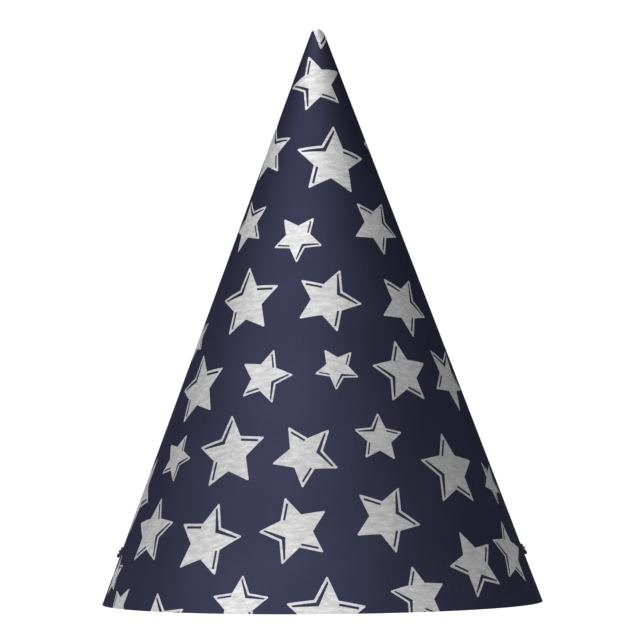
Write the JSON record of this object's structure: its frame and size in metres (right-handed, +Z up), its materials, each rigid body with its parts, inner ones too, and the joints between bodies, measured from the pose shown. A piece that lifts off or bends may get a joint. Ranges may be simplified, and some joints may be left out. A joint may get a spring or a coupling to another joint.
{
  "type": "party hat",
  "caption": "Cone party hat rolled from one sheet of star-printed card, taped down the back, with a chin elastic knotted through a hole on each side.",
  "frame": {"origin": "centre of the open rim, in the plane that the hat stands on", "axes": "+Z up the cone's axis to the tip, -Y the front, +Y the back with the seam, +X to the right as seen from the front"},
  "size_m": [0.133, 0.133, 0.1733],
  "materials": {
    "printed_card": "satin",
    "tape": "gloss",
    "elastic": "matte"
  },
  "bodies": {
    "root": {"card_cone": "printed_card", "seam_tape": "tape", "elastic_cord": "elastic", "knot_left": "elastic", "knot_right": "elastic"}
  },
  "joints": []
}
